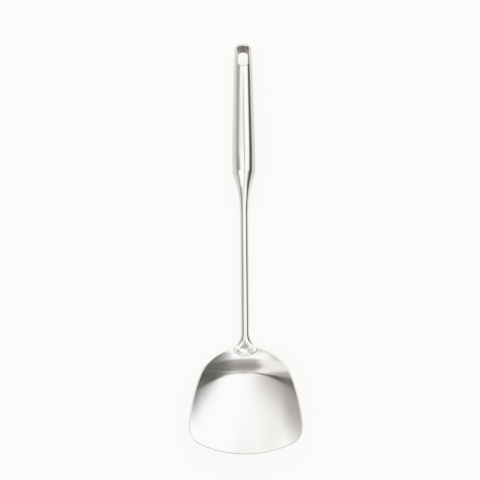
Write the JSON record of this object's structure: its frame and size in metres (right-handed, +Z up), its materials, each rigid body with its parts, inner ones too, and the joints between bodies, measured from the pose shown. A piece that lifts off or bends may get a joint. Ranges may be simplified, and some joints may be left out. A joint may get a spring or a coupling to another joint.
{
  "type": "turner",
  "caption": "Stainless steel wok turner with a wide cupped blade, a round bar on a dished foot, and a hollow tapered handle with a hanging slot.",
  "frame": {"origin": "middle of the bounding box in X and Y, at the height of the table that the turner lies on", "axes": "+Y from the blade's tip towards the handle's end, +Z up out of the cupped face, +X to the right as seen from above with the handle pointing away"},
  "size_m": [0.0992, 0.3862, 0.0279],
  "materials": {
    "blade_steel": "satin-polished stainless steel",
    "shank_steel": "polished stainless steel bar",
    "handle_steel": "satin-polished stainless steel tube"
  },
  "bodies": {
    "root": {"blade": "blade_steel", "shank": "shank_steel", "ferrule": "handle_steel", "handle_tube": "handle_steel", "hang_sleeve": "handle_steel", "end_cap": "handle_steel"}
  },
  "joints": []
}
